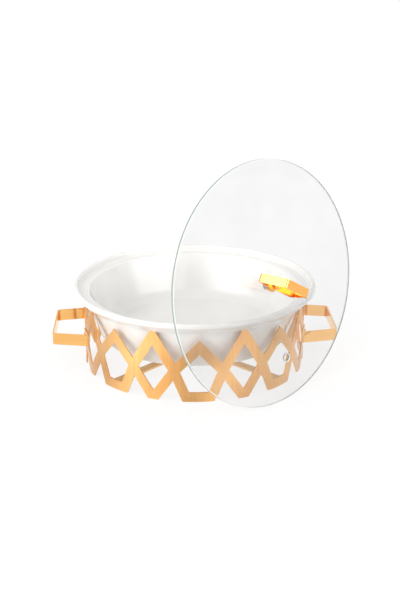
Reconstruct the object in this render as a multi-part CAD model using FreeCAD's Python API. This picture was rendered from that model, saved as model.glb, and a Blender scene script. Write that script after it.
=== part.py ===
import FreeCAD, Part

import math
import os

from FreeCAD import Placement, Rotation, Vector

# A round food warmer: a ceramic dish hangs by its lip in an openwork metal band,
# over a small burner, and its flat glass lid leans on the lip beside it.
# Millimetres, +Z up, -Y to the front. The origin is on the table, at the band's centre.

# --- band: pentagons and diamonds in turn, cut from one width of strip ---------------
band_radius = 146.0            # outer face
band_thickness = 2.0
stand_height = 92.0            # flat tips of the diamonds, where the dish hangs
strap_width = 12.6
motif_pairs = 8                # pentagons, and as many diamonds between them
crossing_angle = 11.75         # from a pentagon's middle to the strap crossing, degrees
crossing_share = 0.4413        # of the stand's height
pentagon_drop = 19.1           # peak below the diamonds' tips, on the straps' centre line
diamond_drop = 7.2             # the same for a diamond
diamond_foot = 1.2
pentagon_foot_half = 15.75
foot_corner_radius = 2.0

# --- handles ---------------------------------------------------------------------------
handle_projection = 40.0       # outer face of the grip, beyond the band
handle_width = 15.4
handle_rise = 12.2             # its upper edge above the strap crossings
handle_thickness = 2.0
grip_half_length = 43.0
handle_root_angle = 21.0       # where the arms leave the band
handle_flange_angle = 9.8      # where the flanges end
handle_bend_radius = 5.0       # outer face
handle_root_radius = 3.0
handle_rivet_radius = 2.0
rivet_head_radius = 3.4
rivet_head_height = 1.2

# --- cross bars and burner holder --------------------------------------------------------
cross_bar_width = 12.0
cross_bar_thickness = 3.0
cross_bar_top = 11.5
cross_bar_tab_foot = 2.0
holder_clearance = 0.6         # around the tealight
holder_wall = 1.0
holder_depth = 4.5
holder_base = 1.5
holder_rivet_radius = 2.0
holder_rivet_head_radius = 4.5
holder_rivet_head_height = 0.8

# --- tealight ----------------------------------------------------------------------------
tealight_radius = 19.0
tealight_height = 16.0
tealight_wall = 0.4
wax_depth = 12.5
wick_radius = 0.8
wick_above_wax = 5.0
sustainer_radius = 6.0
sustainer_thickness = 0.4
sustainer_neck_radius = 1.5
sustainer_neck_height = 3.0

# --- dish --------------------------------------------------------------------------------
lip_overhang = 14.0            # beyond the band
lip_height = 16.0              # its top above the band
lip_width = 7.0
lip_round = 3.4
lip_flare = 45.0               # under the lip, degrees from level
ledge_drop = 7.8               # below the lip's top
ledge_gap = 1.8                # around the lid
ledge_round = 1.5
mouth_round = 2.5
seat_margin = 2.4              # of the seat inside the band
seat_round = 1.5
wall_taper = 17.6              # how far the wall leans in by the base
flame_gap = 5.6                # from the wick to the dish's base
dish_corner_radius = 11.0
dish_wall = 5.5
dish_floor_round = 20.0
foot_ring_inset = 24.0         # from the corner of the base
foot_ring_width = 5.0
foot_ring_height = 1.5

# --- lid ---------------------------------------------------------------------------------
lid_inset = 10.0               # its edge inside the dish's
lid_thickness = 4.0
lid_azimuth = 40.0             # the side it leans on, turned from the front to the right
lid_tilt = 8.9                 # from upright
lid_shift = -22.0              # along the lid's foot, off the line through the dish's middle
vent_radius = 4.4
vent_inset = 50.0              # from the lid's edge
vent_angle = -78.0
washer_radius = 6.5
washer_thickness = 1.0
lid_screw_radius = 2.5
lid_screw_clearance = 0.5      # in the glass
lid_screw_head_radius = 4.8
lid_screw_head_height = 2.4
ball_radius = 8.0
ball_height = 11.0             # between its two flats
ring_turn = -31.5              # the grip's long axis, in the plane of the lid
ring_base = 64.0               # outside length of the side on the ball
ring_top = 40.0                # outside length of the grip
ring_height = 36.5
ring_width = 10.6
ring_thickness = 2.0
ring_bend_radius = 3.0
cap_nut_radius = 4.6
cap_nut_height = 4.5
cap_nut_round = 2.0

touch_gap = 0.3                # between pieces that rest on each other but come apart
overcut = 5.0                  # how far a cutting tool runs past what it cuts
full_turn = 360.0


# --- shared helpers -------------------------------------------------------------------------
def export(shape, node):
    """One STEP file per piece, named after it."""
    shape.exportStep(os.path.join("parts", node + ".step"))


def about_z(shape, degrees):
    turned = shape.copy()
    turned.rotate(Vector(0, 0, 0), Vector(0, 0, 1), degrees)
    return turned


def disc(radius, low, high):
    return Part.makeCylinder(radius, high - low, Vector(0, 0, low))


def tube(inner, outer, low, high):
    return disc(outer, low, high).cut(disc(inner, low, high))


def slab(x_range, y_range, z_range):
    (x0, x1), (y0, y1), (z0, z1) = x_range, y_range, z_range
    return Part.makeBox(x1 - x0, y1 - y0, z1 - z0, Vector(x0, y0, z0))


def unit(start, end):
    dx = end[0] - start[0]
    dy = end[1] - start[1]
    length = math.hypot(dx, dy)
    return dx / length, dy / length


def mitre(before, corner, after, offset):
    """Where the two lines that meet at a corner cross once both move to their left."""
    ux, uy = unit(before, corner)
    vx, vy = unit(corner, after)
    ax = corner[0] - uy * offset
    ay = corner[1] + ux * offset
    bx = corner[0] - vy * offset
    by = corner[1] + vx * offset
    along = ((bx - ax) * vy - (by - ay) * vx) / (ux * vy - uy * vx)
    return (ax + ux * along, ay + uy * along)


def inset(corners, offset):
    """A closed outline with every side moved to its left by offset."""
    count = len(corners)
    return [mitre(corners[i - 1], corners[i], corners[(i + 1) % count], offset)
            for i in range(count)]


def at_height(start, end, height):
    """The point of a line at a height."""
    share = (height - start[1]) / (end[1] - start[1])
    return (start[0] + share * (end[0] - start[0]), height)


def rounded_face(corners, radii, lift):
    """A flat face from corners and their radii; lift turns a 2-D point into a 3-D one."""
    count = len(corners)
    starts, ends, middles = [], [], []
    for i in range(count):
        corner = corners[i]
        back = unit(corner, corners[i - 1])
        ahead = unit(corner, corners[(i + 1) % count])
        half = math.acos(back[0] * ahead[0] + back[1] * ahead[1]) / 2
        reach = radii[i] / math.tan(half)
        depth = radii[i] / math.sin(half) - radii[i]
        inward = unit((0, 0), (back[0] + ahead[0], back[1] + ahead[1]))
        starts.append((corner[0] + back[0] * reach, corner[1] + back[1] * reach))
        ends.append((corner[0] + ahead[0] * reach, corner[1] + ahead[1] * reach))
        middles.append((corner[0] + inward[0] * depth, corner[1] + inward[1] * depth))
    edges = []
    for i in range(count):
        if radii[i] > 0:
            edges.append(Part.Arc(lift(starts[i]), lift(middles[i]), lift(ends[i])).toShape())
        run_start = lift(ends[i])
        run_end = lift(starts[(i + 1) % count])
        if run_start.distanceToPoint(run_end) > touch_gap / 1000:
            edges.append(Part.LineSegment(run_start, run_end).toShape())
    return Part.Face(Part.Wire(edges))


def in_plan(point):
    return Vector(point[0], point[1], 0)


def in_section(point):
    return Vector(point[0], 0, point[1])


# --- the band's pattern, unrolled: distance along the band, height -----------------------------
def arc_length(degrees):
    return band_radius * math.radians(degrees)


half_strap = strap_width / 2
band_inner_radius = band_radius - band_thickness
motif_angle = full_turn / motif_pairs
half_pitch = arc_length(motif_angle / 2)
crossing_height = crossing_share * stand_height
crossing = (arc_length(crossing_angle), crossing_height)
crossing_before = (-crossing[0], crossing_height)
crossing_beyond = (2 * half_pitch - crossing[0], crossing_height)
peak_of_pentagon = (0.0, stand_height - pentagon_drop)
foot_right = (pentagon_foot_half, half_strap)
foot_left = (-pentagon_foot_half, half_strap)
peak_of_diamond = (half_pitch, stand_height - diamond_drop)
foot_of_diamond = (half_pitch, diamond_foot)


def radial_tool(outline, middle_angle):
    """A straight prism through the band, square to it at its middle angle."""
    middle = math.radians(middle_angle)
    points = [Vector(band_radius * math.sin(along / band_radius - middle), 0, height)
              for along, height in outline]
    depth = band_radius / 3
    face = Part.Face(Part.makePolygon(points + points[:1]))
    face.translate(Vector(0, -band_radius - depth / 2, 0))
    return about_z(face.extrude(Vector(0, depth, 0)), middle_angle)


def pentagon_hole():
    return inset([foot_left, foot_right, crossing, peak_of_pentagon, crossing_before], half_strap)


def diamond_hole():
    return inset([foot_of_diamond, crossing_beyond, peak_of_diamond, crossing], half_strap)


def upper_notch():
    """The open V between a pentagon's peak and the next diamond's flat tip."""
    peak = mitre(crossing_before, peak_of_pentagon, crossing, half_strap)
    valley = mitre(peak_of_pentagon, crossing, peak_of_diamond, half_strap)
    tip = mitre(crossing, peak_of_diamond, crossing_beyond, half_strap)
    tip_edge = at_height(valley, tip, stand_height)
    above = 2 * stand_height
    return [peak, valley, tip_edge, (tip_edge[0], above), (peak[0], above)]


def lower_notch():
    """The open V between a pentagon's foot and the next diamond's flat foot."""
    toe = mitre(foot_left, foot_right, crossing, -half_strap)
    valley = mitre(foot_right, crossing, foot_of_diamond, -half_strap)
    point = mitre(crossing, foot_of_diamond, crossing_beyond, -half_strap)
    diamond_toe = at_height(valley, point, 0.0)
    below = -stand_height
    return [valley, toe, (toe[0], below), (diamond_toe[0], below), diamond_toe]


def mirrored(outline):
    return [(-along, height) for along, height in outline]


def openwork_band():
    """A plain tube less every opening and notch."""
    quarter = motif_angle / 4
    pattern = [
        radial_tool(pentagon_hole(), 0.0),
        radial_tool(diamond_hole(), motif_angle / 2),
        radial_tool(upper_notch(), quarter),
        radial_tool(mirrored(upper_notch()), -quarter),
        radial_tool(lower_notch(), quarter),
        radial_tool(mirrored(lower_notch()), -quarter),
    ]
    tools = [about_z(piece, pair * motif_angle)
             for pair in range(motif_pairs) for piece in pattern]
    return tube(band_inner_radius, band_radius, 0.0, stand_height).cut(tools)


def sector(start, end):
    """A wedge of space about Z between two angles, both turned from the front."""
    reach = 2 * band_radius
    sides = [Vector(reach * math.sin(math.radians(angle)), -reach * math.cos(math.radians(angle)), 0)
             for angle in (start, end)]
    face = Part.Face(Part.makePolygon([Vector(0, 0, 0), sides[0], sides[1], Vector(0, 0, 0)]))
    wedge = face.extrude(Vector(0, 0, stand_height + 2 * overcut))
    wedge.translate(Vector(0, 0, -overcut))
    return wedge


def with_round_feet(frame):
    """Round the two corners that stand on the table."""
    corners = [edge for edge in frame.Edges
               if len(edge.Vertexes) == 2
               and max(abs(vertex.Z) for vertex in edge.Vertexes) < touch_gap
               and edge.Length < 2 * band_thickness]
    return frame.makeFillet(foot_corner_radius, corners)


def band_frames():
    """The band as one frame per motif, joined at the strap crossings."""
    half_turn = full_turn / 2
    rivet_places = rivet_angles + tuple(angle + half_turn for angle in rivet_angles)
    band = openwork_band().cut(handle_rivet_shanks(rivet_places))
    for pair in range(motif_pairs):
        start = pair * motif_angle
        end = start + motif_angle
        pentagon = band.common(sector(start - crossing_angle, start + crossing_angle))
        diamond = band.common(sector(start + crossing_angle, end - crossing_angle))
        export(with_round_feet(pentagon.Solids[0]), "pentagon_frame_%d" % (pair + 1))
        export(diamond.Solids[0], "diamond_frame_%d" % (pair + 1))


# --- handles ---------------------------------------------------------------------------------------
handle_reach = band_radius + handle_projection
handle_top = crossing_height + handle_rise
handle_low = handle_top - handle_width
handle_middle = handle_top - handle_width / 2
flange_radius = band_radius + handle_thickness
rivet_angles = (-crossing_angle, crossing_angle)


def handle_plan(offset):
    """Corners of the arms and the grip in plan, offset inwards; the arms end inside the band."""
    root_angle = math.radians(handle_root_angle)
    root = (band_radius * math.cos(root_angle), band_radius * math.sin(root_angle))
    grip = (handle_reach, grip_half_length)
    out_x, out_y = unit(root, grip)
    buried = (grip[0] - out_x * handle_reach / 2, grip[1] - out_y * handle_reach / 2)
    near, low_grip, high_grip, far = inset([(buried[0], -buried[1]), (grip[0], -grip[1]),
                                            grip, buried], offset)
    return [near, low_grip, high_grip, far]


def handle_block(offset):
    """Everything within the strap's outline, at an offset inwards from its outer face."""
    bend = handle_bend_radius - offset
    face = rounded_face(handle_plan(offset), [0, bend, bend, 0], in_plan)
    face.translate(Vector(0, 0, handle_low))
    return face.extrude(Vector(0, 0, handle_width))


def flange_sector():
    """The space beside the grip's middle that the flanges leave open."""
    angle = math.radians(handle_flange_angle)
    reach = 2 * band_radius
    ends = [Vector(reach, side * reach * math.tan(angle), handle_low - overcut)
            for side in (-1, 1)]
    corner = Vector(0, 0, handle_low - overcut)
    face = Part.Face(Part.makePolygon([corner, ends[0], ends[1], corner]))
    return face.extrude(Vector(0, 0, handle_width + 2 * overcut))


def upright_edges(shape, x, y):
    """Vertical edges close to a place in plan."""
    place = Vector(x, abs(y), 0)
    found = []
    for edge in shape.Edges:
        ends = [Vector(vertex.X, abs(vertex.Y), 0) for vertex in edge.Vertexes]
        if len(ends) == 2 and ends[0].distanceToPoint(ends[1]) < touch_gap / 1000:
            if ends[0].distanceToPoint(place) < handle_thickness / 2:
                found.append(edge)
    return found


def handle():
    """One bent strap on the +X side: flange, arm, grip, arm, flange."""
    block = handle_block(0.0)
    inside_band = disc(band_radius, handle_low - overcut, handle_top + overcut)
    arms = block.cut([handle_block(handle_thickness), inside_band])
    flanges = tube(band_radius, flange_radius, handle_low, handle_top).common(block)
    strap = arms.fuse(flanges.cut(flange_sector())).removeSplitter()
    root_angle = math.radians(handle_root_angle)
    root = (band_radius * math.cos(root_angle), band_radius * math.sin(root_angle))
    strap = strap.makeFillet(handle_root_radius, upright_edges(strap, *root))
    return strap.cut(handle_rivet_shanks(rivet_angles)).Solids[0]


def handle_rivet_shank():
    return Part.makeCylinder(handle_rivet_radius, flange_radius - band_inner_radius,
                             Vector(band_inner_radius, 0, handle_middle), Vector(1, 0, 0))


def handle_rivet():
    """Shank along +X through the band and the flange, with a low head at each end."""
    outer = Part.makeCone(rivet_head_radius, handle_rivet_radius, rivet_head_height,
                          Vector(flange_radius, 0, handle_middle), Vector(1, 0, 0))
    inner = Part.makeCone(rivet_head_radius, handle_rivet_radius, rivet_head_height,
                          Vector(band_inner_radius, 0, handle_middle), Vector(-1, 0, 0))
    seats = tube(band_inner_radius, flange_radius, handle_low, handle_top)
    return handle_rivet_shank().fuse([outer.cut(seats), inner.cut(seats)])


def handle_rivet_shanks(angles):
    return [about_z(handle_rivet_shank(), angle) for angle in angles]


def handles():
    right = handle()
    rivets = [about_z(handle_rivet(), angle) for angle in rivet_angles]
    for side, turn in (("right", 0), ("left", full_turn / 2)):
        export(about_z(right, turn), "handle_%s" % side)
        export(about_z(Part.makeCompound(rivets), turn), "handle_rivets_%s" % side)


# --- cross bars and burner holder --------------------------------------------------------------------
cross_bar_low = cross_bar_top - cross_bar_thickness
holder_floor = cross_bar_top + holder_base
holder_radius = tealight_radius + holder_clearance


def cross_bar(lap_low, lap_high):
    """A strip across the band, its ends turned down inside it, halved where the other crosses."""
    half_width = cross_bar_width / 2
    strip = slab((-band_radius, band_radius), (-half_width, half_width),
                 (cross_bar_low, cross_bar_top))
    tab_start = band_inner_radius - cross_bar_thickness
    tabs = [slab((min(near, far), max(near, far)), (-half_width, half_width),
                 (cross_bar_tab_foot, cross_bar_top))
            for near, far in ((tab_start, band_radius), (-band_radius, -tab_start))]
    bar = strip.fuse(tabs).removeSplitter()
    bar = bar.common(disc(band_inner_radius, 0, stand_height))
    lap = slab((-half_width, half_width), (-half_width, half_width), (lap_low, lap_high))
    return bar.cut([lap, holder_rivet_shank()])


def holder_rivet_shank():
    return disc(holder_rivet_radius, cross_bar_low, holder_floor)


def cross_bars():
    middle = (cross_bar_low + cross_bar_top) / 2
    quarter_turn = full_turn / 4
    first = about_z(cross_bar(middle, cross_bar_top), quarter_turn / 2)
    second = about_z(cross_bar(cross_bar_low, middle), -quarter_turn / 2)
    export(first, "cross_bar_lower")
    export(second, "cross_bar_upper")


def burner_holder():
    outer = holder_radius + holder_wall
    cup = disc(outer, cross_bar_top, holder_floor + holder_depth)
    cup = cup.cut(disc(holder_radius, holder_floor, holder_floor + holder_depth))
    recess = disc(holder_rivet_head_radius, holder_floor - holder_rivet_head_height, holder_floor)
    export(cup.cut([recess, holder_rivet_shank()]), "burner_holder")
    lower_head = disc(holder_rivet_head_radius, cross_bar_low - holder_rivet_head_height,
                      cross_bar_low)
    export(holder_rivet_shank().fuse([recess, lower_head]).removeSplitter(), "burner_holder_rivet")


# --- tealight ------------------------------------------------------------------------------------------
tealight_low = holder_floor
wax_low = tealight_low + tealight_wall
wax_top = wax_low + wax_depth
wick_low = wax_low + sustainer_thickness
wick_top = wax_top + wick_above_wax


def tealight():
    cup = disc(tealight_radius, tealight_low, tealight_low + tealight_height)
    bore = disc(tealight_radius - tealight_wall, wax_low, tealight_low + tealight_height)
    export(cup.cut(bore), "tealight_cup")
    neck_top = wick_low + sustainer_neck_height
    sustainer = disc(sustainer_radius, wax_low, wick_low)
    sustainer = sustainer.fuse(disc(sustainer_neck_radius, wick_low, neck_top)).removeSplitter()
    wick = disc(wick_radius, wick_low, wick_top)
    wax = disc(tealight_radius - tealight_wall, wax_low, wax_top)
    export(wax.cut([sustainer, wick]), "tealight_wax")
    export(sustainer.cut(wick), "wick_sustainer")
    export(wick, "tealight_wick")


# --- dish ------------------------------------------------------------------------------------------------
seat_height = stand_height + touch_gap
seat_inner_radius = band_inner_radius - seat_margin
dish_radius = band_radius + lip_overhang
dish_base_radius = seat_inner_radius - wall_taper
dish_base_height = wick_top + flame_gap
foot_ring_radius = dish_base_radius - foot_ring_inset
lip_top = stand_height + lip_height
ledge_height = lip_top - ledge_drop
lid_radius = dish_radius - lid_inset
ledge_radius = lid_radius + ledge_gap
lip_inner_radius = dish_radius - lip_width
seat_outer_radius = dish_radius - lip_width - lip_round
lip_low = seat_height + (dish_radius - seat_outer_radius) * math.tan(math.radians(lip_flare))


def dish():
    """A section turned about Z: base, wall, seat, lip, ledge for the lid, and inside."""
    foot_inner = foot_ring_radius - foot_ring_width
    foot_low = dish_base_height - foot_ring_height
    floor = dish_base_height + dish_wall
    wall_foot = (dish_base_radius, dish_base_height)
    wall_top = (seat_inner_radius, seat_height)
    inner_wall = inset([(0, dish_base_height), wall_foot, wall_top, (0, seat_height)], dish_wall)
    mouth = at_height(inner_wall[1], inner_wall[2], ledge_height)
    corners_and_rounds = [
        ((0, dish_base_height), 0),
        ((foot_inner, dish_base_height), 0),
        ((foot_inner, foot_low), foot_ring_height / 2),
        ((foot_ring_radius, foot_low), foot_ring_height / 2),
        ((foot_ring_radius, dish_base_height), 0),
        (wall_foot, dish_corner_radius),
        (wall_top, seat_round),
        ((seat_outer_radius, seat_height), seat_round),
        ((dish_radius, lip_low), lip_round),
        ((dish_radius, lip_top), lip_round),
        ((lip_inner_radius, lip_top), lip_round),
        ((ledge_radius, ledge_height), ledge_round),
        (mouth, mouth_round),
        (inner_wall[1], dish_floor_round),
        ((0, floor), 0),
    ]
    corners = [corner for corner, _ in corners_and_rounds]
    rounds = [size for _, size in corners_and_rounds]
    section = rounded_face(corners, rounds, in_section)
    return section.revolve(Vector(0, 0, 0), Vector(0, 0, 1), full_turn)


# --- lid, flat about its own centre with its underside at zero, then leaned on the dish ----------------------
vent_distance = lid_radius - vent_inset
ball_low = lid_thickness + washer_thickness
ring_low = ball_low + ball_height
ring_floor = ring_low + ring_thickness
screw_top = ring_floor + cap_nut_height / 2
screw_seat = -washer_thickness


def lid_glass():
    pane = disc(lid_radius, 0, lid_thickness)
    screw_hole = disc(lid_screw_radius + lid_screw_clearance, 0, lid_thickness)
    vent = disc(vent_radius, 0, lid_thickness)
    vent.translate(Vector(vent_distance, 0, 0))
    return pane.cut([screw_hole, about_z(vent, vent_angle)])


def lid_screw():
    head = disc(lid_screw_head_radius, screw_seat - lid_screw_head_height, screw_seat)
    rim = [edge for edge in head.Edges
           if max(vertex.Z for vertex in edge.Vertexes) < screw_seat - lid_screw_head_height / 2
           and len(edge.Vertexes) == 1]
    head = head.makeFillet(lid_screw_head_height / 2, rim)
    return head.fuse(disc(lid_screw_radius, screw_seat, screw_top)).removeSplitter()


def lid_washer(low):
    return tube(lid_screw_radius, washer_radius, low, low + washer_thickness)


def lid_ball():
    middle = ball_low + ball_height / 2
    ball = Part.makeSphere(ball_radius, Vector(0, 0, middle))
    ball = ball.common(disc(ball_radius, ball_low, ring_low))
    return ball.cut(disc(lid_screw_radius, ball_low, ring_low))


def lid_ring():
    """A closed strap: a long side on the ball, a shorter grip, two slanting sides."""
    half_base = ring_base / 2
    half_top = ring_top / 2
    top = ring_low + ring_height
    outside = [(-half_base, ring_low), (half_base, ring_low), (half_top, top), (-half_top, top)]
    inside = inset(outside, ring_thickness)
    outer_bends = [ring_bend_radius] * len(outside)
    inner_bends = [ring_bend_radius - ring_thickness] * len(outside)
    band = rounded_face(outside, outer_bends, in_section)
    band = band.cut(rounded_face(inside, inner_bends, in_section))
    strap = band.extrude(Vector(0, ring_width, 0))
    strap.translate(Vector(0, -ring_width / 2, 0))
    strap = strap.cut(disc(lid_screw_radius, ring_low, ring_floor))
    return about_z(strap, ring_turn).Solids[0]


def cap_nut():
    nut = disc(cap_nut_radius, ring_floor, ring_floor + cap_nut_height)
    rim = [edge for edge in nut.Edges
           if len(edge.Vertexes) == 1 and edge.Vertexes[0].Z > ring_floor + cap_nut_height / 2]
    nut = nut.makeFillet(cap_nut_round, rim)
    return nut.cut(disc(lid_screw_radius, ring_floor, screw_top))


def lid_lean():
    """Where the lid stands: its foot on the table, its underside against the dish's lip."""
    azimuth = math.radians(lid_azimuth)
    tilt = math.radians(lid_tilt)
    outward = Vector(math.sin(azimuth), -math.cos(azimuth), 0)
    along = Vector(math.cos(azimuth), math.sin(azimuth), 0)
    facing = outward * math.cos(tilt) + Vector(0, 0, math.sin(tilt))
    upward = outward * -math.sin(tilt) + Vector(0, 0, math.cos(tilt))
    lip_centre = outward * (dish_radius - lip_round) + Vector(0, 0, lip_top - lip_round)
    centre_height = lid_radius * math.cos(tilt)
    reach = facing.dot(lip_centre) + lip_round + touch_gap - centre_height * math.sin(tilt)
    centre = outward * (reach / math.cos(tilt)) + along * lid_shift
    centre.z = centre_height
    return Placement(centre, Rotation(along, upward, facing, "ZXY"))


def lid():
    lean = lid_lean()
    pieces = {
        "lid_glass": lid_glass(),
        "lid_screw": lid_screw(),
        "lid_washer_under": lid_washer(screw_seat),
        "lid_washer_over": lid_washer(lid_thickness),
        "lid_ball": lid_ball(),
        "lid_ring": lid_ring(),
        "lid_cap_nut": cap_nut(),
    }
    for node, piece in pieces.items():
        piece.Placement = lean.multiply(piece.Placement)
        export(piece, node)


os.makedirs("parts", exist_ok=True)
band_frames()
handles()
cross_bars()
burner_holder()
tealight()
export(dish(), "dish")
lid()
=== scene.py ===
import math

import bmesh
import bpy
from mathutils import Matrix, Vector


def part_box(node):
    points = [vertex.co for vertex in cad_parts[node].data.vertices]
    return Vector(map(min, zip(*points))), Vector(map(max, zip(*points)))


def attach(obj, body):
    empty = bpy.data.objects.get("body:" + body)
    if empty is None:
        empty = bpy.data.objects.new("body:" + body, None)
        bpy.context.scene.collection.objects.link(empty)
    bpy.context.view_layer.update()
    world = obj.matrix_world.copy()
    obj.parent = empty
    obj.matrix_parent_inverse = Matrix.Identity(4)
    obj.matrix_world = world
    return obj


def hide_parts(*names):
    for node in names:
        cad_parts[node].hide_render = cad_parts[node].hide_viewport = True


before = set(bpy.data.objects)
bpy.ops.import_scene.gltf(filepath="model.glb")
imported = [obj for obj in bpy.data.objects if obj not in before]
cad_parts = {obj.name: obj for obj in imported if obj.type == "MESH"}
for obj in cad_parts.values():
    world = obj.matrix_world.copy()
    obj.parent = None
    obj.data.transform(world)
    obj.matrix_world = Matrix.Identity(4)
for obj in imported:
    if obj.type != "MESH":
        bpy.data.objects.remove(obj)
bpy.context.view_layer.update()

# Round food warmer: an openwork gold band on its feet holds a glazed dish over a tealight,
# and the flat glass lid leans on the dish's lip. Metres, +Z up, -Y to the front.

FULL_TURN = 2 * math.pi
MM = 0.001
EVEN = (1.0, 1.0, 1.0)          # noise that is drawn out along no axis
WELD = 0.002 * MM               # vertices nearer than this are one
FLAT_ANGLE = 0.2                # degrees between faces that lie in one plane
ON_AXIS = 1e-7


# --- mesh helpers -------------------------------------------------------------------------
def cad_mesh(*nodes):
    """The welded meshes of CAD nodes, together."""
    bm = bmesh.new()
    for node in nodes:
        bm.from_mesh(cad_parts[node].data)
    bmesh.ops.remove_doubles(bm, verts=bm.verts, dist=WELD)
    return bm


def merge_flat_faces(bm):
    bmesh.ops.dissolve_limit(bm, angle_limit=math.radians(FLAT_ANGLE), verts=bm.verts,
                             edges=bm.edges)


def soften_edges(bm, width, sharp=35.0, segments=2):
    edges = [edge for edge in bm.edges if len(edge.link_faces) == 2
             and edge.calc_face_angle(0.0) > math.radians(sharp)]
    bmesh.ops.bevel(bm, geom=edges, offset=width, segments=segments, profile=0.5,
                    affect="EDGES", clamp_overlap=True)


def finished(bm, name, body, material, nodes, smooth_angle=40.0):
    """The mesh as a piece that rides on a body and stands for its CAD nodes."""
    bmesh.ops.recalc_face_normals(bm, faces=bm.faces)
    mesh = bpy.data.meshes.new(name)
    bm.to_mesh(mesh)
    bm.free()
    for polygon in mesh.polygons:
        polygon.use_smooth = True
    mesh.set_sharp_from_angle(angle=math.radians(smooth_angle))
    mesh.materials.append(material)
    piece = bpy.data.objects.new(name, mesh)
    bpy.context.scene.collection.objects.link(piece)
    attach(piece, body)
    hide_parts(*nodes)
    return piece


def keep_flats_flat(piece):
    """Rounded edges take the shading turn, and the faces beside them stay flat."""
    normals = piece.modifiers.new("normals", "WEIGHTED_NORMAL")
    normals.keep_sharp = True
    normals.weight = 80


def dressed(node, name, body, material, edge=0.25 * MM):
    """A CAD node with its sharp edges broken, as a finished part has."""
    bm = cad_mesh(node)
    merge_flat_faces(bm)
    soften_edges(bm, edge)
    piece = finished(bm, name, body, material, [node])
    keep_flats_flat(piece)
    return piece


def lathe(profile, steps, radius_at=None):
    """A closed (radius, height) outline turned about +Z; radius_at adds to a radius."""
    bm = bmesh.new()
    rings = []
    for radius, height in profile:
        if radius < ON_AXIS:
            rings.append([bm.verts.new((0, 0, height))])
            continue
        ring = []
        for step in range(steps):
            angle = FULL_TURN * step / steps
            reach = radius + (radius_at(radius, height, angle) if radius_at else 0.0)
            ring.append(bm.verts.new((reach * math.cos(angle), reach * math.sin(angle), height)))
        rings.append(ring)
    for inner, outer in zip(rings, rings[1:] + rings[:1]):
        if len(inner) == 1 and len(outer) == 1:
            continue
        for step in range(steps):
            after = (step + 1) % steps
            corners = [inner[step % len(inner)], outer[step % len(outer)],
                       outer[after % len(outer)], inner[after % len(inner)]]
            bm.faces.new(list(dict.fromkeys(corners)))
    return bm


def half_section(node):
    """A turned CAD node's outline, read where its mesh crosses the +X half plane."""
    bm = cad_mesh(node)
    on_plane = {vert for vert in bm.verts if abs(vert.co.y) < ON_AXIS and vert.co.x > -ON_AXIS}
    links = {vert: [edge.other_vert(vert) for edge in vert.link_edges
                    if edge.other_vert(vert) in on_plane] for vert in on_plane}
    vert = min((vert for vert in on_plane if len(links[vert]) == 1),
               key=lambda vert: vert.co.z)
    outline, seen = [(0.0, vert.co.z)], set()
    while vert is not None:
        seen.add(vert)
        outline.append((vert.co.x, vert.co.z))
        ahead = [other for other in links[vert] if other not in seen]
        vert = ahead[0] if ahead else None
    outline.append((0.0, outline[-1][1]))
    bm.free()
    return outline


# --- material helpers ---------------------------------------------------------------------
def new_material(name, **constants):
    """A material and its Principled shader, with constants on the shader's own sockets."""
    material = bpy.data.materials.new(name)
    material.use_nodes = True
    shader = material.node_tree.nodes["Principled BSDF"]
    for socket, value in constants.items():
        shader.inputs[socket.replace("_", " ")].default_value = value
    return material, material.node_tree, shader


def add(tree, kind, inputs=None, **settings):
    node = tree.nodes.new(kind)
    for key, value in settings.items():
        setattr(node, key, value)
    for key, value in (inputs or {}).items():
        if isinstance(value, bpy.types.NodeSocket):
            tree.links.new(value, node.inputs[key])
        else:
            node.inputs[key].default_value = value
    return node


def grain(tree, stretch, scale, detail=4.0, rough=0.6):
    """Noise in the part's own frame, drawn out along the axes whose stretch is small."""
    place = add(tree, "ShaderNodeTexCoord").outputs["Object"]
    mapped = add(tree, "ShaderNodeMapping", {"Vector": place, "Scale": stretch})
    return add(tree, "ShaderNodeTexNoise", {
        "Vector": mapped.outputs["Vector"], "Scale": scale, "Detail": detail,
        "Roughness": rough}).outputs["Fac"]


def spread(tree, value, low, high, start=0.3, end=0.7):
    """Noise from start to end becomes low to high."""
    return add(tree, "ShaderNodeMapRange", {
        "Value": value, "From Min": start, "From Max": end,
        "To Min": low, "To Max": high}).outputs["Result"]


def blended(tree, share, first, second):
    node = add(tree, "ShaderNodeMix", {"Factor": share}, data_type="RGBA")
    for socket, value in ((node.inputs[6], first), (node.inputs[7], second)):
        if isinstance(value, bpy.types.NodeSocket):
            tree.links.new(value, socket)
        else:
            socket.default_value = value
    return node.outputs[2]


def relief(tree, shader, height, strength, depth):
    bump = add(tree, "ShaderNodeBump", {
        "Height": height, "Strength": strength, "Distance": depth})
    tree.links.new(bump.outputs["Normal"], shader.inputs["Normal"])


def colour(red, green, blue):
    return (red, green, blue, 1.0)


# --- materials ----------------------------------------------------------------------------
def gold(name, light, dark, smoothest, roughest, stretch, streak, anisotropy, depth, coat=0.0):
    """Gold plate under lacquer: fine brush lines, and a slow change of tone."""
    material, tree, shader = new_material(name, Metallic=1.0, Anisotropic=anisotropy,
                                          Anisotropic_Rotation=0.25, Coat_Weight=coat,
                                          Coat_Roughness=0.3)
    fine = grain(tree, stretch, streak, 6.0, 0.7)
    broad = grain(tree, stretch, streak / 5, 3.0)
    cloud = grain(tree, EVEN, 13.0, 1.0)
    lines = add(tree, "ShaderNodeMath", {0: broad, 1: 0.3, 2: fine},
                operation="MULTIPLY_ADD").outputs[0]
    tint = blended(tree, spread(tree, lines, 0.0, 1.0, 0.5, 0.8), dark, light)
    slow = blended(tree, spread(tree, cloud, 0.0, 1.0, 0.35, 0.65), dark, light)
    tree.links.new(blended(tree, 0.5, tint, slow), shader.inputs["Base Color"])
    tree.links.new(spread(tree, fine, smoothest, roughest), shader.inputs["Roughness"])
    relief(tree, shader, fine, 0.35, depth)
    return material


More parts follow.
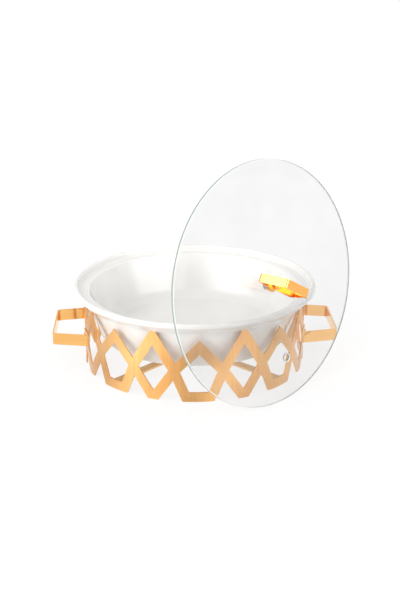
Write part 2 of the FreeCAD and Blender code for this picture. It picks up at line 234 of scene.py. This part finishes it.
def glaze():
    """White gloss glaze, a little uneven, and bare clay under the foot ring."""
    material, tree, shader = new_material("white_glaze", Coat_Weight=0.4, Coat_Roughness=0.04)
    mottle = grain(tree, EVEN, 28.0, 5.0)
    speck = grain(tree, EVEN, 900.0, 2.0)
    white = blended(tree, spread(tree, mottle, 0.0, 1.0),
                    colour(0.735, 0.722, 0.70), colour(0.76, 0.75, 0.73))
    specked = blended(tree, spread(tree, speck, 0.0, 0.25, 0.70, 0.78), white,
                      colour(0.62, 0.57, 0.50))
    position = add(tree, "ShaderNodeNewGeometry").outputs["Position"]
    height = add(tree, "ShaderNodeSeparateXYZ", {"Vector": position}).outputs["Z"]
    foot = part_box("dish")[0].z
    bare = spread(tree, height, 1.0, 0.0, foot + 0.5 * MM, foot + 0.9 * MM)
    clay = blended(tree, spread(tree, speck, 0.0, 1.0), colour(0.60, 0.54, 0.46),
                   colour(0.74, 0.69, 0.61))
    tree.links.new(blended(tree, bare, specked, clay), shader.inputs["Base Color"])
    gloss = spread(tree, mottle, 0.07, 0.12)
    rough = add(tree, "ShaderNodeMath", {0: gloss, 1: spread(tree, bare, 0.0, 0.5, 0.0, 1.0)},
                operation="ADD").outputs[0]
    tree.links.new(rough, shader.inputs["Roughness"])
    relief(tree, shader, mottle, 0.06, 0.3 * MM)
    return material


def clear_glass():
    """Flat tempered glass, faintly tinted."""
    material, tree, shader = new_material("clear_glass", Transmission_Weight=1.0, IOR=1.46,
                                          Roughness=0.0)
    wave = grain(tree, EVEN, 14.0, 2.0)
    tree.links.new(blended(tree, spread(tree, wave, 0.0, 1.0), colour(0.885, 0.885, 0.885),
                           colour(0.92, 0.92, 0.92)), shader.inputs["Base Color"])
    return material


def ground_glass(name, dark, light):
    """The pane's frosted rim, where the glass shows its grey-green depth."""
    material, tree, shader = new_material(name, Transmission_Weight=0.25, IOR=1.46)
    frost = grain(tree, EVEN, 900.0, 3.0)
    tree.links.new(blended(tree, spread(tree, frost, 0.0, 1.0), dark, light),
                   shader.inputs["Base Color"])
    tree.links.new(spread(tree, frost, 0.3, 0.45), shader.inputs["Roughness"])
    relief(tree, shader, frost, 0.3, 0.05 * MM)
    return material


def silicone():
    material, tree, shader = new_material("clear_silicone", Transmission_Weight=0.3,
                                          IOR=1.41)
    cloud = grain(tree, EVEN, 300.0)
    tree.links.new(blended(tree, spread(tree, cloud, 0.0, 1.0), colour(0.90, 0.90, 0.89),
                           colour(0.96, 0.96, 0.95)), shader.inputs["Base Color"])
    tree.links.new(spread(tree, cloud, 0.15, 0.3), shader.inputs["Roughness"])
    relief(tree, shader, cloud, 0.1, 0.1 * MM)
    return material


def foil():
    """Thin drawn aluminium with draw lines up its side."""
    material, tree, shader = new_material("candle_aluminium", Metallic=1.0)
    lines = grain(tree, (1.0, 1.0, 0.04), 1500.0, 4.0)
    tree.links.new(blended(tree, spread(tree, lines, 0.0, 1.0), colour(0.66, 0.67, 0.69),
                           colour(0.86, 0.87, 0.88)), shader.inputs["Base Color"])
    tree.links.new(spread(tree, lines, 0.18, 0.34), shader.inputs["Roughness"])
    relief(tree, shader, lines, 0.25, 0.08 * MM)
    return material


def wax():
    material, tree, shader = new_material("candle_wax", Subsurface_Weight=0.35,
                                          Subsurface_Scale=0.004)
    cloud = grain(tree, EVEN, 220.0, 4.0)
    tree.links.new(blended(tree, spread(tree, cloud, 0.0, 1.0), colour(0.86, 0.83, 0.76),
                           colour(0.93, 0.91, 0.87)), shader.inputs["Base Color"])
    tree.links.new(spread(tree, cloud, 0.3, 0.5), shader.inputs["Roughness"])
    relief(tree, shader, cloud, 0.3, 0.3 * MM)
    return material


def cotton():
    material, tree, shader = new_material("cotton_wick", Sheen_Weight=0.3)
    fibre = grain(tree, (1.0, 1.0, 0.2), 4000.0, 3.0)
    tree.links.new(blended(tree, spread(tree, fibre, 0.0, 1.0), colour(0.66, 0.61, 0.52),
                           colour(0.90, 0.87, 0.80)), shader.inputs["Base Color"])
    tree.links.new(spread(tree, fibre, 0.7, 0.9), shader.inputs["Roughness"])
    relief(tree, shader, fibre, 0.5, 0.1 * MM)
    return material


UP_STROKES = (1.0, 1.0, 0.004)
LONG_STROKES = (0.01, 0.01, 1.0)
BAND_GOLD = gold("brushed_gold", light=colour(0.94, 0.54, 0.20), dark=colour(0.58, 0.27, 0.07),
                 smoothest=0.36, roughest=0.48, stretch=UP_STROKES, streak=2600.0,
                 anisotropy=0.85, depth=0.02 * MM, coat=0.8)
STRAP_GOLD = gold("strap_gold", light=colour(0.98, 0.58, 0.22), dark=colour(0.86, 0.44, 0.13),
                  smoothest=0.05, roughest=0.11, stretch=LONG_STROKES, streak=1100.0,
                  anisotropy=0.2, depth=0.01 * MM)
SATIN_GOLD = gold("satin_gold", light=colour(0.90, 0.60, 0.30), dark=colour(0.72, 0.42, 0.18),
                  smoothest=0.22, roughest=0.34, stretch=EVEN, streak=700.0,
                  anisotropy=0.0, depth=0.03 * MM)
MIRROR_GOLD = gold("polished_gold", light=colour(0.97, 0.50, 0.15),
                   dark=colour(0.93, 0.43, 0.11), smoothest=0.03, roughest=0.07,
                   stretch=EVEN, streak=500.0, anisotropy=0.0, depth=0.01 * MM)
GLAZE = glaze()
GLASS = clear_glass()
GLASS_BEVEL = ground_glass("glass_bevel", colour(0.60, 0.64, 0.62), colour(0.72, 0.75, 0.73))
GLASS_EDGE = ground_glass("glass_edge", colour(0.24, 0.30, 0.27), colour(0.36, 0.42, 0.39))
SILICONE = silicone()
FOIL = foil()
WAX = wax()
COTTON = cotton()


# --- the stand ----------------------------------------------------------------------------
MOTIFS = 8                      # pentagons, and as many diamonds
SEAM_TOLERANCE = 1e-4           # radians
front_foot_low, front_foot_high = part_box("pentagon_frame_1")
BAND_RADIUS = -front_foot_low.y
SEAM_ANGLE = math.asin(front_foot_high.x / BAND_RADIUS)


def on_seam(face):
    """Whether a face lies in one of the upright planes where two CAD frames meet."""
    pitch = FULL_TURN / MOTIFS
    for vert in face.verts:
        angle = math.atan2(vert.co.x, -vert.co.y) % pitch
        if min(abs(angle - SEAM_ANGLE), abs(angle - pitch + SEAM_ANGLE)) > SEAM_TOLERANCE:
            return False
    centre = face.calc_center_median()
    outward = Vector((centre.x, centre.y, 0)).normalized()
    return abs(face.normal.dot(outward)) < 0.2 and abs(face.normal.z) < 0.2


def build_band():
    """One continuous strip of openwork, with no line where its frames meet."""
    nodes = ["%s_frame_%d" % (kind, number + 1)
             for kind in ("pentagon", "diamond") for number in range(MOTIFS)]
    bm = cad_mesh(*nodes)
    bmesh.ops.delete(bm, geom=[face for face in bm.faces if on_seam(face)], context="FACES")
    merge_flat_faces(bm)
    soften_edges(bm, 0.28 * MM)
    keep_flats_flat(finished(bm, "band", "stand", BAND_GOLD, nodes))


def build_stand():
    build_band()
    for side in ("left", "right"):
        dressed("handle_" + side, "handle_strap_" + side, "stand", STRAP_GOLD,
                0.3 * MM)
        dressed("handle_rivets_" + side, "rivets_" + side, "stand", STRAP_GOLD,
                0.12 * MM)
    for bar in ("lower", "upper"):
        dressed("cross_bar_" + bar, "bar_" + bar, "stand", SATIN_GOLD, 0.4 * MM)
    dressed("burner_holder", "holder_ring", "stand", SATIN_GOLD)
    dressed("burner_holder_rivet", "holder_rivet", "stand", SATIN_GOLD)


# --- the dish -----------------------------------------------------------------------------
DISH_STEPS = 256


def build_dish():
    bm = lathe(half_section("dish"), DISH_STEPS)
    finished(bm, "glazed_dish", "dish", GLAZE, ["dish"], 60.0)


# --- the lid ------------------------------------------------------------------------------
PANE_BEVEL = 1.3 * MM
LEVEL = 0.999                   # cosine to the pane's normal, above which a face is its flat
UPRIGHT = 0.1                   # and below which a face is its edge


def build_pane():
    """Clear flats, pale ground bevels and a dark line of edge between them."""
    bm = cad_mesh("lid_glass")
    merge_flat_faces(bm)
    normal = max(bm.faces, key=lambda face: face.calc_area()).normal.copy()
    soften_edges(bm, PANE_BEVEL, segments=3)
    for face in bm.faces:
        turn = abs(face.normal.dot(normal))
        face.material_index = 0 if turn > LEVEL else 1 if turn > UPRIGHT else 2
    pane = finished(bm, "glass_pane", "lid", GLASS, ["lid_glass"])
    pane.data.materials.append(GLASS_BEVEL)
    pane.data.materials.append(GLASS_EDGE)
    for polygon in pane.data.polygons:
        polygon.use_smooth = abs(polygon.normal.dot(normal)) < LEVEL


def build_lid():
    build_pane()
    dressed("lid_ring", "grip_ring", "lid", MIRROR_GOLD, 0.35 * MM)
    dressed("lid_cap_nut", "grip_nut", "lid", MIRROR_GOLD, 0.15 * MM)
    dressed("lid_screw", "grip_screw", "lid", MIRROR_GOLD, 0.15 * MM)
    finished(cad_mesh("lid_ball"), "grip_ball", "lid", MIRROR_GOLD,
             ["lid_ball"])
    for side in ("under", "over"):
        dressed("lid_washer_" + side, "washer_" + side, "lid", SILICONE)


# --- the tealight -------------------------------------------------------------------------
FOIL_WALL = 0.4 * MM
FLUTES = 48
FLUTE_DEPTH = 0.35 * MM


def build_cup():
    """Drawn foil with fluted sides, a rounded foot and a rolled rim."""
    low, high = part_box("tealight_cup")
    radius = high.x
    foot_height, rim_height = 4 * MM, 1.6 * MM
    fade = 2 * MM
    side_inset = 0.1 * MM
    bands = 12

    def fluted(reach, height, angle):
        if reach < radius - 2 * FOIL_WALL:
            return 0.0
        share = min(max((height - low.z) / foot_height, 0.0), 1.0)
        share *= min(max((high.z - rim_height - height) / fade, 0.0), 1.0)
        return -FLUTE_DEPTH * share * (0.5 - 0.5 * math.cos(FLUTES * angle))

    heights = [low.z + (high.z - low.z) * step / bands for step in range(bands + 1)][1:-1]
    foot = [(0.0, low.z), (radius - 0.6 * MM, low.z), (radius - 0.15 * MM, low.z + 0.35 * MM)]
    outside = [(radius - side_inset, height) for height in heights]
    rolled = [(radius, high.z - 0.9 * MM), (radius, high.z - 0.3 * MM),
              (radius - 0.3 * MM, high.z), (radius - 0.7 * MM, high.z - 0.2 * MM)]
    inside = [(radius - side_inset - FOIL_WALL, height) for height in reversed(heights)]
    floor = [(radius - 1.2 * MM, low.z + FOIL_WALL), (0.0, low.z + FOIL_WALL)]
    bm = lathe(foot + outside + rolled + inside + floor, FLUTES * 6, fluted)
    finished(bm, "candle_cup", "tealight", FOIL, ["tealight_cup"], 50.0)


def build_wax(wick_radius):
    """Wax that sank as it set, and climbs a little at the wick."""
    low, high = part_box("tealight_wax")
    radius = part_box("tealight_cup")[1].x - 2 * FOIL_WALL - FLUTE_DEPTH
    sag = 0.5 * MM
    top = [(radius, high.z - 0.1 * MM)]
    top += [(radius * share, high.z - sag * (1 - share ** 4))
            for share in (0.95, 0.88, 0.75, 0.55, 0.35, 0.2)]
    top += [(wick_radius * 2.2, high.z - 0.3 * MM), (wick_radius * 1.1, high.z)]
    bm = lathe([(0.0, low.z), (radius, low.z)] + top + [(0.0, high.z)], 96)
    finished(bm, "candle_wax_fill", "tealight", WAX, ["tealight_wax"], 60.0)


def build_wick(radius):
    """Three strands that wind round each other."""
    low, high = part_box("tealight_wick")
    length = high.z - low.z
    strands, twists, steps = 3, 3, 40
    groove = 0.22 * radius

    def braided(reach, height, angle):
        turn = (height - low.z) / length * FULL_TURN * twists
        return -groove * (0.5 - 0.5 * math.cos(strands * (angle + turn)))

    sides = [(radius, low.z + length * step / steps) for step in range(steps)]
    profile = [(0.0, low.z)] + sides + [(radius * 0.7, high.z), (0.0, high.z)]
    finished(lathe(profile, 36, braided), "candle_wick", "tealight", COTTON,
             ["tealight_wick"], 60.0)


def build_tealight():
    wick_low, wick_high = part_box("tealight_wick")
    wick_radius = (wick_high.x - wick_low.x) / 2
    build_cup()
    build_wax(wick_radius)
    build_wick(wick_radius)
    dressed("wick_sustainer", "candle_sustainer", "tealight", FOIL, 0.1 * MM)


# --- studio -------------------------------------------------------------------------------
FLOOR_HALF = 15.0
CAMERA_PLACE = (-0.0511, -1.3308, 0.5784)
CAMERA_PITCH = 69.48            # degrees up from straight down
CAMERA_TURN = -2.56
CAMERA_LENS = 63.79
SENSOR_WIDTH = 36.0
ALL_ROUND = 0.93                # the world's strength away from the lobes


def build_floor():
    """Pale paper that glows a little, so that it stays pale under the object too."""
    material, tree, shader = new_material("studio_floor", Roughness=0.9,
                                          Specular_IOR_Level=0.1, Emission_Strength=0.82,
                                          Emission_Color=colour(1.0, 1.0, 1.0))
    paper = grain(tree, EVEN, 6.0, 3.0)
    tree.links.new(blended(tree, spread(tree, paper, 0.0, 1.0), colour(0.14, 0.14, 0.14),
                           colour(0.16, 0.16, 0.16)), shader.inputs["Base Color"])
    bm = bmesh.new()
    bmesh.ops.create_grid(bm, x_segments=2, y_segments=2, size=FLOOR_HALF)
    mesh = bpy.data.meshes.new("floor")
    bm.to_mesh(mesh)
    bm.free()
    mesh.materials.append(material)
    floor = bpy.data.objects.new("floor", mesh)
    bpy.context.scene.collection.objects.link(floor)


def softbox(name, place, target, width, height, power):
    """A rectangular area lamp that faces its target."""
    lamp = bpy.data.lights.new(name, "AREA")
    lamp.shape = "RECTANGLE"
    lamp.size, lamp.size_y = width, height
    lamp.energy = power
    holder = bpy.data.objects.new(name, lamp)
    holder.location = place
    holder.rotation_euler = (Vector(target) - Vector(place)).to_track_quat("-Z", "Y").to_euler()
    bpy.context.scene.collection.objects.link(holder)


def facing(tree, direction, towards, edge, core, gain):
    """A soft lobe of light: nothing beyond edge degrees from a direction, gain within core."""
    near = add(tree, "ShaderNodeVectorMath", {0: direction, 1: Vector(towards).normalized()},
               operation="DOT_PRODUCT").outputs["Value"]
    return add(tree, "ShaderNodeMapRange", {
        "Value": near, "From Min": math.cos(math.radians(edge)),
        "From Max": math.cos(math.radians(core)), "To Min": 0.0, "To Max": gain},
        interpolation_type="SMOOTHSTEP").outputs["Result"]


def build_world():
    """Even light all round, a bright glow at each side of the front, and dim between them."""
    world = bpy.data.worlds.new("studio")
    bpy.context.scene.world = world
    world.use_nodes = True
    tree = world.node_tree
    direction = add(tree, "ShaderNodeTexCoord").outputs["Generated"]
    lobes = [facing(tree, direction, towards=(-0.79, -0.61, 0.20), edge=45.0, core=14.0,
                    gain=3.0),
             facing(tree, direction, towards=(0.68, -0.73, 0.20), edge=40.0, core=12.0,
                    gain=3.3),
             facing(tree, direction, towards=(0.0, -1.0, 0.15), edge=34.0, core=8.0,
                    gain=-0.88)]
    light = ALL_ROUND
    for lobe in lobes:
        light = add(tree, "ShaderNodeMath", {0: light, 1: lobe}, operation="ADD").outputs[0]
    tree.links.new(light, tree.nodes["Background"].inputs["Strength"])
    tree.nodes["Background"].inputs["Color"].default_value = colour(1.0, 1.0, 1.0)


def build_camera():
    camera = bpy.data.cameras.new("camera")
    camera.sensor_width = SENSOR_WIDTH
    camera.lens = CAMERA_LENS
    holder = bpy.data.objects.new("camera", camera)
    holder.location = CAMERA_PLACE
    holder.rotation_euler = (math.radians(CAMERA_PITCH), 0.0, math.radians(CAMERA_TURN))
    bpy.context.scene.collection.objects.link(holder)
    bpy.context.scene.camera = holder


def build_studio():
    build_floor()
    build_world()
    softbox("key", place=(-1.2, -0.9, 1.5), target=(0, 0, 0.05), width=1.2, height=1.2,
            power=4.0)
    build_camera()
    bpy.context.scene.view_settings.view_transform = "Standard"


build_stand()
build_dish()
build_lid()
build_tealight()
build_studio()
